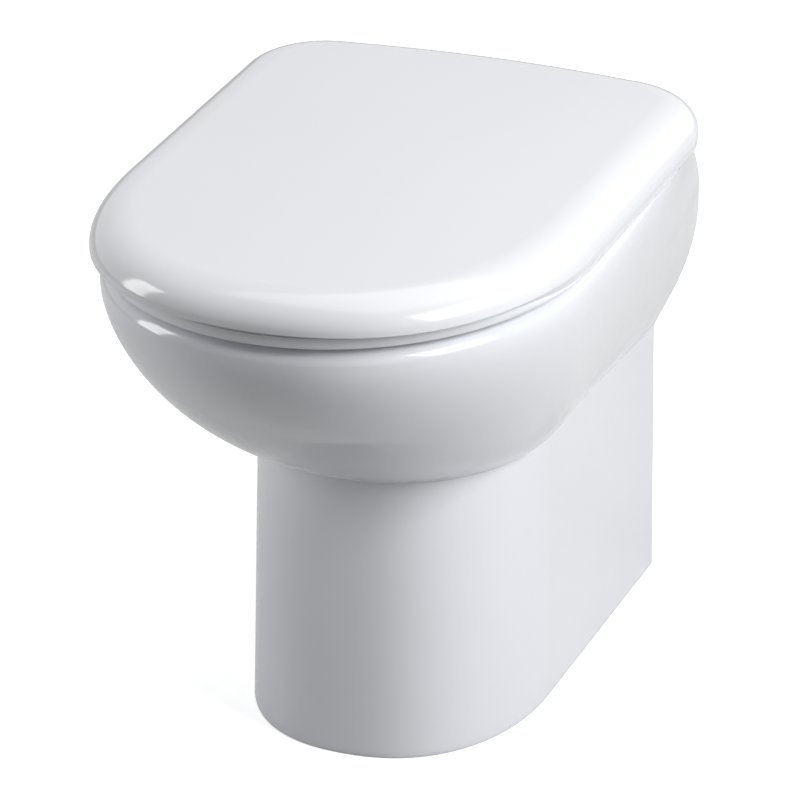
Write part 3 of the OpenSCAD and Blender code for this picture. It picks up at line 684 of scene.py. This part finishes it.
def china_shell(pan, materials):
    """The pan's shell as one closed skin: the shown side, glazed, then round the foot and back up the
    hidden side, bare."""
    skin, profile = Skin(pan), inside_profile(pan)
    shown = shown_rings(pan, skin, bowl_rings(eased(profile, 4)[::-1]))
    rings = np.concatenate([shown, hidden_rings(pan, skin, profile)])
    row_material = np.where(np.arange(len(rings) - 1) < len(shown) - 1, 0, 1)
    sump = pan.sump_height / MM
    ends = [0, SUMP_Y, sump], [0, SUMP_Y, sump - pan.wall_thickness / MM]
    return closed_skin("glazed_pan", rings, *ends, materials, row_material)


def bowl_core(pan):
    """A tool the shape of the bowl's inside, grown by 4 mm into its wall."""
    rings = bowl_rings(eased(inside_profile(pan), 4), 4)
    ends = [[0, SUMP_Y, rings[i, 0, 2]] for i in (0, -1)]
    return closed_skin("bowl_core", rings, *ends)


def trap_path(pan):
    """The water's way from the sump over the weir and down to the spigot, with its corners cut away five
    times: each pass replaces a corner by the points a quarter and three quarters along its two sides."""
    mouth, spigot = pan.sump_height / MM + TRAP_MOUTH, pan.spigot_height / MM
    way = np.array([
        [0, -226.5, mouth], [0, -196, mouth], [0, -140, 248], [0, -88, spigot], [0, -60, spigot],
    ])
    for _ in range(5):
        early, late = way[:-1] * 0.75 + way[1:] * 0.25, way[:-1] * 0.25 + way[1:] * 0.75
        cut = np.stack([early, late], axis=1).reshape(-1, 3)
        way = np.vstack([way[:1], cut, way[-1:]])
    return way


def mirrored(sign, near, far):
    """Both ends in x of something on the right (1) or the left (-1), the lower first."""
    return sorted((sign * near, sign * far))


def pan_joins(pan, glazed, bare):
    """What is joined to the shell: the trap and the inlet, which end within the thickness of the bowl's
    wall, the spigot, and the two floor lugs."""
    china, foot_a = pan.wall_thickness / MM, pan.foot_width / MM / 2
    inlet_z, spigot_z = pan.inlet_height / MM, pan.spigot_height / MM
    tubes = [
        swept("trap_outside", trap_path(pan), TRAP_BORE / 2 + china - 2, bare),
        rod("inlet_outside", (0, -146, inlet_z), (0, -4, inlet_z), INLET_BORE + 2 * china, bare),
    ]
    for tube in tubes:
        combined(tube, [bowl_core(pan)], "DIFFERENCE")
    spigot = rod("spigot", (0, -74, spigot_z), (0, -14, spigot_z), SPIGOT_OUTSIDE, glazed)
    lugs = []
    for sign in (1, -1):
        x0, x1 = mirrored(sign, foot_a - LUG_IN, foot_a - LUG_OUT)
        lugs.append(block("lug", (x0, -62, 0), (x1, -28, 22)))
    return [*tubes, spigot, *lugs]


def pan_cuts(pan, glazed, bare):
    """What is cut out of it: the trap's way, the bores, the open back, and the holes for the seat's
    studs and the floor screws."""
    china, foot_a = pan.wall_thickness / MM, pan.foot_width / MM / 2
    inlet_z, spigot_z = pan.inlet_height / MM, pan.spigot_height / MM
    bores = [  # name, both ends in y, height and diameter
        ("sump_mouth", -260, -224, pan.sump_height / MM + TRAP_MOUTH, TRAP_BORE),
        ("spigot_bore", -65, 1, spigot_z, SPIGOT_OUTSIDE - 18),
        ("inlet_bore", -22, 1, inlet_z, INLET_BORE),
        ("inlet_face", -4, 1, inlet_z, INLET_BORE + 11),
        ("inlet_way", -166, -20, inlet_z, INLET_BORE - 10),
    ]
    cuts = [swept("trap_bore", trap_path(pan), TRAP_BORE / 2, glazed)]
    for name, start, end, z, across in bores:
        cuts.append(rod(name, (0, start, z), (0, end, z), across, glazed))
    cuts.append(block("back_opening", (24 - foot_a, -china - 3, -1), (foot_a - 24, 1, BACK_TOP)))
    for sign in (-1, 1):
        cuts.append(upright("stud_hole", sign * STUD_X, STUD_Y, 360, 420, STUD_HOLE, glazed))
        cuts.append(upright("lug_hole", sign * (foot_a - LUG_MIDDLE), -45, -1, 30, LUG_SCREW, bare))
    return cuts


class TOILET_OT_pan(bpy.types.Operator):
    """Builds the glazed china pan with its trap, spigot, inlet, lugs and holes"""

    bl_idname = "toilet.pan"
    bl_label = "Pan"

    def execute(self, context):
        pan, colours = context.scene.toilet_pan, context.scene.toilet_colours
        glazed, bare = [glazed_china(colours)], [bare_china(colours)]
        piece = china_shell(pan, glazed + bare)
        carved(piece, pan_joins(pan, glazed, bare), pan_cuts(pan, glazed, bare))
        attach(piece, "pan")
        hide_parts("pan")
        return {"FINISHED"}


# ---------- the lid and the seat ----------


class Hinge:
    """Places and diameters that the seat, the lid and the posts share."""

    barrel, lug, bush = 22, 20, 14  # across

    def __init__(self):
        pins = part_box("hinge_pins")
        self.y = (pins[0].y + pins[1].y) / 2 / MM - WALL
        self.z = (pins[0].z + pins[1].z) / 2 / MM
        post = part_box("hinge_post_right")[0].x / MM + 0.3  # its barrel stands out by 0.3 mm at each end
        self.arm_x0, self.arm_x1 = 38, post - 1
        self.lug_x0 = post + 28 + 1  # the post is 28 mm wide
        self.lug_x1 = self.lug_x0 + 22.5

    def bar(self, name, ends, diameter, material):
        """A bar on the hinge's axis, between two ends in x."""
        start, end = ((x, self.y, self.z) for x in ends)
        return rod(name, start, end, diameter, [material])


AROUND_LID = 384  # points round an outline of the lid or the seat
FRONT_END, SIDE_END, CORNER_END = 0.42, 0.66, 0.82  # of the points from the tip to the back's middle
FRONT_MIDDLE, FRONT_POWER = -353, 2.03  # the seat's front: what its curve goes round, and its exponent
ROUND_OVER = 24  # from the lid's top down to where its broad round-over begins
EDGE_UP = 7  # the lid's lower edge stands this far above the rim along the sides
LID_MIDDLE = -300  # y of the middle of the lid's top
LID_PADS = (96, -468), (138, -232)  # x and y
SEAT_PADS = (88, -494), (150, -218)


def turn(a, front, c, m, back, rc, bow):
    """Outlines as x and y: the front is part of a superellipse of exponent m round (0, c), then straight
    sides, back corners of radius rc, and a back edge bowed out by bow along a parabola. Each number is
    given once, or once for each level."""
    columns = (np.asarray(v, float).reshape(-1, 1) for v in (a, front, c, m, back, rc, bow))
    a, front, c, m, back, rc, bow = columns
    u = np.linspace(0, 1, AROUND_LID // 2 + 1)[None, :]  # from the front tip to the middle of the back
    t = np.radians(90 * gone(u, 0, FRONT_END))
    x = a * np.sin(t) ** (2 / m)
    y = c + (front - c) * np.cos(t) ** (2 / m)
    x = np.where(u > FRONT_END, a, x)
    y = np.where(u > FRONT_END, c + (back - rc - c) * gone(u, FRONT_END, SIDE_END), y)
    corner = np.radians(90 * gone(u, SIDE_END, CORNER_END))
    x = np.where(u > SIDE_END, a - rc + rc * np.cos(corner), x)
    y = np.where(u > SIDE_END, back - rc + rc * np.sin(corner), y)
    flat = (a - rc) * (1 - gone(u, CORNER_END, 1))
    x = np.where(u > CORNER_END, flat, x)
    y = np.where(u > CORNER_END, back + bow * (1 - (flat / (a - rc)) ** 2), y)
    return np.concatenate([x, -x[:, -2:0:-1]], axis=1), np.concatenate([y, y[:, -2:0:-1]], axis=1)


def skirt(y, sizes, pan):
    """Height of the lid's lower edge: level along the sides, raised for the fingers over the front, and
    nearly up to the round-over along the back, so that the lid can turn over the china."""
    rim, widest = pan.rim_height / MM, pan.bowl_reach / MM - TIP_TO_WIDEST
    lift = sizes.lid_top / MM - ROUND_OVER - rim - (EDGE_UP + 0.8)
    fingers, hinge = smooth((-y - widest - 17) / 120), smooth((y + 80) / 18)
    return rim + EDGE_UP + lift * (0.657 * fingers + hinge)


class LidForm:
    """The lid's levels. mix runs from the seat's rounder outline at the lower edge (0) to the lid's own
    squarer one above (1)."""

    back, corner, bow = -62, 67, 8

    def __init__(self, sizes, pan):
        self.sizes, self.pan = sizes, pan
        self.seat_a, self.lid_a = sizes.seat_width / MM / 2, sizes.lid_width / MM / 2
        self.seat_reach, self.lid_reach = sizes.seat_reach / MM, sizes.lid_reach / MM
        self.top = sizes.lid_top / MM
        self.low = self.top - ROUND_OVER
        self.skin = sizes.lid_skin / MM

    def outline(self, inset, mix):
        """Outline drawn in by inset, as x and y."""
        a = self.seat_a + (self.lid_a - self.seat_a) * mix - inset
        front = -(self.seat_reach + (self.lid_reach - self.seat_reach) * mix) + inset
        back, corner = self.back - inset, np.maximum(6, self.corner - inset)
        return turn(a, front, FRONT_MIDDLE + 3 * mix, FRONT_POWER + 0.27 * mix, back, corner, self.bow)

    def level(self, inset, z):
        """Levels of the lid's own outline that each lie at one height."""
        x, y = self.outline(inset, 1)
        return np.stack([x, y, np.broadcast_to(z[:, None], x.shape)], axis=2)

    def skirt_level(self, inset, mix, up):
        """Levels that are up (0 to 1) of the way from the lower edge to the round-over."""
        x, y = self.outline(inset, mix)
        z = skirt(y, self.sizes, self.pan)
        return np.stack([x, y, z + (self.low - z) * up[:, None]], axis=2)


def crowned(edge, share, low, rise):
    """Levels at shares of the way out from the middle to an edge. Each lies above low by the rise times
    the square of one less its share squared."""
    k = share[:, None, None]
    middle = np.array([0, LID_MIDDLE, 0])
    rings = middle + (edge * [1, 1, 0] - middle) * k
    rings[..., 2] = low + rise * (1 - k[..., 0] ** 2) ** 2
    return rings


def lid_shell(sizes, pan, material):
    """The lid as one closed skin: from the middle of its top over the broad edge, a quarter ellipse,
    down the skirt, round its lower edge, up inside, and in across the ceiling."""
    form = LidForm(sizes, pan)
    top, t = form.top, form.skin
    edge_width, edge_height, start = 32, ROUND_OVER - 1, 0.02
    w = np.radians(np.linspace(90, 0, 40))
    over = form.level(edge_width * (1 - np.cos(w)), form.low + edge_height * np.sin(w))
    crown = crowned(over[0], np.linspace(start, 1, 30)[:-1], top - 1, 1)
    up = np.linspace(1, 0.12, 24)[1:]
    tuck = form.skirt_level(0, smooth(1.3 * up), up)
    lip = np.linspace(0.1, 0, 7)
    edge_turn = form.skirt_level(0.8 * tucked(lip / 0.12), smooth(1.3 * lip), lip)
    up = np.linspace(0, 0.9, 8)
    inner = form.skirt_level(t + 1.6 + 0.6 * up, 0.9 * up, up)
    w = np.radians(np.linspace(0, 90, 16))
    inset = t + 1.4 + (edge_width - 4) * (1 - np.cos(w))
    rounding = form.level(inset, form.low + 0.1 + (edge_height - t) * np.sin(w))
    ceiling = crowned(rounding[-1], np.linspace(1, start, 16)[1:], top - t - 0.9, 0.6)
    rings = np.concatenate([crown, over, tuck, edge_turn, inner, rounding, ceiling])
    ends = [0, LID_MIDDLE, top], [0, LID_MIDDLE, top - t - 0.3]
    return closed_skin("moulded_lid", rings, *ends, [material])


class TOILET_OT_lid(bpy.types.Operator):
    """Builds the moulded wrap-over lid with its hinge lugs"""

    bl_idname = "toilet.lid"
    bl_label = "Lid"

    def execute(self, context):
        scene = context.scene
        material = polished_moulding(scene.toilet_colours)
        piece = lid_shell(scene.toilet_seat, scene.toilet_pan, material)
        hinge = Hinge()
        y, z = hinge.y, hinge.z
        joins, cuts = [], []
        for sign in (-1, 1):
            lug = mirrored(sign, hinge.lug_x0, hinge.lug_x1)
            joins.append(hinge.bar("lug", lug, hinge.lug, material))
            joins.append(block("lug_root", (lug[0], y - 20, z - 1), (lug[1], y - 4, z + 10)))
            bore = mirrored(sign, hinge.lug_x0 - 1, hinge.lug_x1 - 1.1)
            cuts.append(hinge.bar("lug_bore", bore, hinge.bush, material))
            notch = mirrored(sign, hinge.arm_x0 - 0.8, hinge.lug_x0 + 0.3)
            cuts.append(hinge.bar("notch", notch, hinge.barrel + 1.2, material))
            cuts.append(block("notch_below", (notch[0], y - 8, z - 20), (notch[1], y + 22, z)))
            for x_pad, y_pad in LID_PADS:
                cuts.append(upright("pad_hole", sign * x_pad, y_pad, 437.7, 439.9, 4, [material]))
        carved(piece, joins, cuts)
        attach(piece, "lid")
        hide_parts("lid")
        return {"FINISHED"}


def seat_rings(sizes, pan):
    """The seat ring's levels. Each is a blend of the outer outline, drawn in by inset, and the hole's,
    at a height that is either fixed or follows the lid's lower edge."""
    a, reach = sizes.seat_width / MM / 2, sizes.seat_reach / MM
    low, top = sizes.seat_underside / MM, sizes.seat_top / MM
    back, corner, bow, gap = -130, 34, 4, 0.6  # the gap is the one under the lid's lower edge
    edge = turn(a, -reach, FRONT_MIDDLE, FRONT_POWER, back, corner, bow)
    lip_edge = skirt(edge[1], sizes, pan) - gap

    # inset, share of the way to the hole, height, and how much of the lip's own height it has
    rows = np.array([
        [2.0, 0, low, 0], [0.6, 0, low + 0.5, 0], [0, 0, low + 1.6, 0], [0, 0, -1.4, 1],
        [0.3, 0, -0.5, 1], [1.2, 0, 0, 1], [8, 0, 0.4, 1], [8.8, 0, 1.4, 1], [9, 0, top - 9, 0],
        [9.3, 0, top - 6.2, 0], [10.4, 0.01, top - 3.6, 0], [12, 0.035, top - 1.6, 0],
        [14, 0.07, top - 0.3, 0], [14, 0.1, top, 0], [14, 0.4, top, 0], [14, 0.48, top - 0.1, 0],
        [13.4, 0.56, top - 0.9, 0], [12.6, 0.65, top - 2.6, 0], [11.4, 0.76, top - 5.6, 0],
        [10.4, 0.87, top - 9.8, 0], [9.6, 0.94, top - 13.4, 0], [9, 0.985, top - 17, 0],
        [9, 1.005, top - 20, 0], [9, 1.005, low + 2.4, 0], [9, 1.0, low + 1, 0], [9, 0.985, low, 0],
        [9, 0.85, low, 0], [9, 0.84, low + 0.8, 0], [9, 0.8, low + 9, 0], [10, 0.72, low + 13, 0],
        [11, 0.62, top - 9, 0], [12, 0.3, top - 5.6, 0], [11, 0.2, top - 6, 0], [10, 0.13, top - 9, 0],
        [9, 0.115, low + 0.8, 0], [9, 0.105, low, 0],
    ])
    inset, share, height, follows = (rows[:, i, None] for i in range(4))
    outer = turn(a - inset, -reach + inset, FRONT_MIDDLE, FRONT_POWER, back - inset, corner, bow)
    hole = turn(sizes.hole_width / MM / 2, -(reach - 80), -345, 2.05, -197, 96, 0)
    x, y = (out + (into - out) * share for out, into in zip(outer, hole))
    followed = np.minimum(skirt(y, sizes, pan) - gap + height, lip_edge + height + 0.2)
    return np.stack([x, y, np.where(follows > 0, followed, height)], axis=2)


class TOILET_OT_seat(bpy.types.Operator):
    """Builds the moulded seat ring with its hinge arms"""

    bl_idname = "toilet.seat"
    bl_label = "Seat ring"

    def execute(self, context):
        scene = context.scene
        material = polished_moulding(scene.toilet_colours)
        rings = seat_rings(scene.toilet_seat, scene.toilet_pan)
        faces = band_faces(*rings.shape[:2], closed=True)
        piece = new_object("moulded_seat", placed(rings), [faces], [material])
        hinge = Hinge()
        y, z, r = hinge.y, hinge.z, hinge.barrel / 2
        low = scene.toilet_seat.seat_underside / MM
        side = [
            [y, z], [y - 6, z + r - 1.9], [-150, z + 6], [-150, low + 4], [y - 30, low + 4.5],
            [y, z - r + 0.2],
        ]
        joins, cuts = [], []
        for sign in (-1, 1):
            arm = mirrored(sign, hinge.arm_x0, hinge.arm_x1)
            joins.append(hinge.bar("arm_barrel", arm, hinge.barrel, material))
            joins.append(slab("arm", side, *arm))
            bore = mirrored(sign, hinge.arm_x0 + 1.1, hinge.arm_x1 + 1)
            cuts.append(hinge.bar("arm_bore", bore, hinge.bush, material))
            for x_pad, y_pad in SEAT_PADS:
                x_pad *= sign
                joins.append(upright("boss", x_pad, y_pad, low, low + 20.5, 20, [material]))
                cuts.append(upright("pad_hole", x_pad, y_pad, low - 1, low + 6.4, 5, [material]))
        carved(piece, joins, cuts)
        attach(piece, "seat")
        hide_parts("seat_ring")
        return {"FINISHED"}


# ---------- fittings that keep their CAD shape ----------


class TOILET_OT_fittings(bpy.types.Operator):
    """Finishes the hinges, studs, nuts, washers, seals, dampers, bushes and pads"""

    bl_idname = "toilet.fittings"
    bl_label = "Fittings"

    def execute(self, context):
        colours = context.scene.toilet_colours
        steel, chrome = turned_steel(colours), chrome_plate(colours)
        nylon = moulded_plastic("Nylon, moulded", colours.nylon)
        damper = moulded_plastic("Acetal, moulded", colours.damper)
        pad = soft_rubber("Elastomer, moulded", colours.pad, 0.5, 0.62)
        seal = soft_rubber("Rubber, moulded", colours.seal, 0.55, 0.7)
        finishes = (
            (steel, "hinge_studs hinge_pins stud_washers button_spring_left button_spring_right"),
            (chrome, "stud_discs hinge_post_left hinge_post_right"),
            (chrome, "release_button_left release_button_right"),
            (nylon, "wing_nuts fixing_sleeves seat_bush lid_bush"),
            (damper, "seat_damper lid_damper"),
            (pad, "stud_gaskets seat_buffers_front seat_buffers_rear lid_buffers"),
            (seal, "inlet_seal cone_washers"),
        )
        for material, nodes in finishes:
            for node in nodes.split():
                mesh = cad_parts[node].data
                mesh.materials.clear()
                mesh.materials.append(material)
        return {"FINISHED"}


# ---------- stage ----------


WHITE = linear("#FFFFFF")
SKY_ON_OBJECT = 0.03  # how much light the white world throws on surfaces
FLOOR_MIRRORED = 0.45  # share of the floor's brightness that mirrored rays see
FLOOR_DULL, FLOOR_PALE, FLOOR_GLOW = 0.4, 0.9, 0.62
FLOOR_HALF = 15  # metres
LAMPS = (  # name, place, aim and size in metres, and watts
    ("Overhead", (0.2, 0.5, 2.6), (0, 0, 0.4), (2.2, 2.2), 21),
    ("Key, high on the right", (2.3, -0.45, 1.75), (0, 0, 0.2), (1.5, 1.5), 74),
    ("Fill, low on the left", (-2.4, -0.7, 1.1), (0, 0, 0.2), (0.8, 1.8), 30),
)
AZIMUTH, ELEVATION, DISTANCE = 20.8176, 24.312, 4.38952  # degrees and metres, fitted to the photograph
AIM = -0.006454, WALL * MM - 0.25, 0.229113
LENS, SENSOR = 265.56, 36


def aimed(item, way):
    """Turns a lamp or a camera to look along a direction."""
    item.rotation_euler = Vector(way).to_track_quat("-Z", "Y").to_euler()


def light(name, place, aim, size, power):
    """A soft box: a white rectangular lamp."""
    lamp = bpy.data.lights.new(name, "AREA")
    lamp.shape = "RECTANGLE"
    lamp.size, lamp.size_y = size
    lamp.energy = power
    made = linked(name, lamp)
    made.location = place
    aimed(made, np.array(aim, float) - np.array(place, float))


def seen_directly(tree, glossy):
    """1 for rays from the camera or passed on, a share for mirrored ones, and 0 for light in between."""
    path = add(tree, "ShaderNodeLightPath").outputs
    share = add(tree, "ShaderNodeMath", {0: path["Is Glossy Ray"], 1: glossy}, operation="MULTIPLY")
    rays = {0: path["Is Camera Ray"], 1: path["Is Transmission Ray"]}
    plain = add(tree, "ShaderNodeMath", rays, operation="MAXIMUM")
    both = {0: plain.outputs[0], 1: share.outputs[0]}
    return add(tree, "ShaderNodeMath", both, operation="MAXIMUM").outputs[0]


def between(tree, seen, low, high):
    """Goes from low, where a ray doesn't see it directly, to high, where it does."""
    ends = {"Value": seen, "To Min": low, "To Max": high}
    return add(tree, "ShaderNodeMapRange", ends).outputs["Result"]


def white_world():
    """A world that is white where it is seen, and lights the object only faintly."""
    world = bpy.data.worlds.new("Studio")
    tree = fresh_tree(world)
    strength = between(tree, seen_directly(tree, 1.0), SKY_ON_OBJECT, 1.0)
    sky = add(tree, "ShaderNodeBackground", {"Color": WHITE, "Strength": strength})
    add(tree, "ShaderNodeOutputWorld", {"Surface": sky.outputs["Background"]})
    return world


def floor_paper():
    """Matt white paper that the camera sees lit, and that throws back less than half of the light."""
    paper = bpy.data.materials.new("Floor paper")
    tree = fresh_tree(paper)
    seen = seen_directly(tree, FLOOR_MIRRORED)
    matt = add(tree, "ShaderNodeBsdfDiffuse", {"Color": between(tree, seen, FLOOR_DULL, FLOOR_PALE)})
    glow = add(tree, "ShaderNodeEmission", {"Color": WHITE, "Strength": FLOOR_GLOW})
    off = add(tree, "ShaderNodeBsdfTransparent", {"Color": (0, 0, 0, 1)})
    lift = add(tree, "ShaderNodeMixShader", {0: seen, 1: off.outputs[0], 2: glow.outputs[0]})
    total = add(tree, "ShaderNodeAddShader", {0: matt.outputs[0], 1: lift.outputs[0]})
    add(tree, "ShaderNodeOutputMaterial", {"Surface": total.outputs[0]})
    return paper


class TOILET_OT_stage(bpy.types.Operator):
    """Sets the floor, the world, the lights and the camera"""

    bl_idname = "toilet.stage"
    bl_label = "Stage"

    def execute(self, context):
        scene = context.scene
        scene.view_settings.view_transform = "Standard"
        scene.world = white_world()

        h = FLOOR_HALF
        mesh = bpy.data.meshes.new("studio_floor")
        mesh.from_pydata([(-h, -h, 0), (h, -h, 0), (h, h, 0), (-h, h, 0)], [], [(0, 1, 2, 3)])
        mesh.materials.append(floor_paper())
        floor = linked("studio_floor", mesh)
        floor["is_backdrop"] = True
        for lamp in LAMPS:
            light(*lamp)

        turned, raised = math.radians(AZIMUTH), math.radians(ELEVATION)
        level = math.cos(raised)
        back = np.array([math.sin(turned) * level, -math.cos(turned) * level, math.sin(raised)])
        lens = bpy.data.cameras.new("Camera")
        lens.lens, lens.sensor_width = LENS, SENSOR
        lens.clip_start, lens.clip_end = 0.1, 60
        camera = linked("Camera", lens)
        camera.location = AIM + back * DISTANCE
        aimed(camera, -back)
        scene.camera = camera
        return {"FINISHED"}


# ---------- the add-on ----------


class TOILET_PT_panel(bpy.types.Panel):
    """Sizes, colours and the operators that build each piece"""

    bl_label = "Toilet"
    bl_idname = "TOILET_PT_panel"
    bl_space_type = "VIEW_3D"
    bl_region_type = "UI"
    bl_category = "Toilet"

    def draw(self, context):
        """Lists the operators, and then each group's settings in a box."""
        for operator in OPERATORS:
            self.layout.operator(operator.bl_idname)
        for settings, group in SETTINGS.items():
            box = self.layout.box()
            for name in group.__annotations__:
                box.prop(getattr(context.scene, settings), name)


OPERATORS = (TOILET_OT_pan, TOILET_OT_seat, TOILET_OT_lid, TOILET_OT_fittings, TOILET_OT_stage)
SETTINGS = {"toilet_pan": PanSizes, "toilet_seat": SeatSizes, "toilet_colours": Colours}
CLASSES = (*SETTINGS.values(), *OPERATORS, TOILET_PT_panel)


def register():
    """Makes the classes and their settings known to the program."""
    for item in CLASSES:
        bpy.utils.register_class(item)
    for name, group in SETTINGS.items():
        setattr(bpy.types.Scene, name, PointerProperty(type=group))


def unregister():
    """Takes them out again."""
    for name in SETTINGS:
        delattr(bpy.types.Scene, name)
    for item in reversed(CLASSES):
        bpy.utils.unregister_class(item)


def main():
    """Builds everything."""
    register()
    bpy.ops.toilet.pan()
    bpy.ops.toilet.seat()
    bpy.ops.toilet.lid()
    bpy.ops.toilet.fittings()
    bpy.ops.toilet.stage()
    boxes = {"cad": CAD_BOX, "visual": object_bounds()}
    {name: [list(corner) for corner in box] for name, box in boxes.items()}


if __name__ == "__main__":
    main()
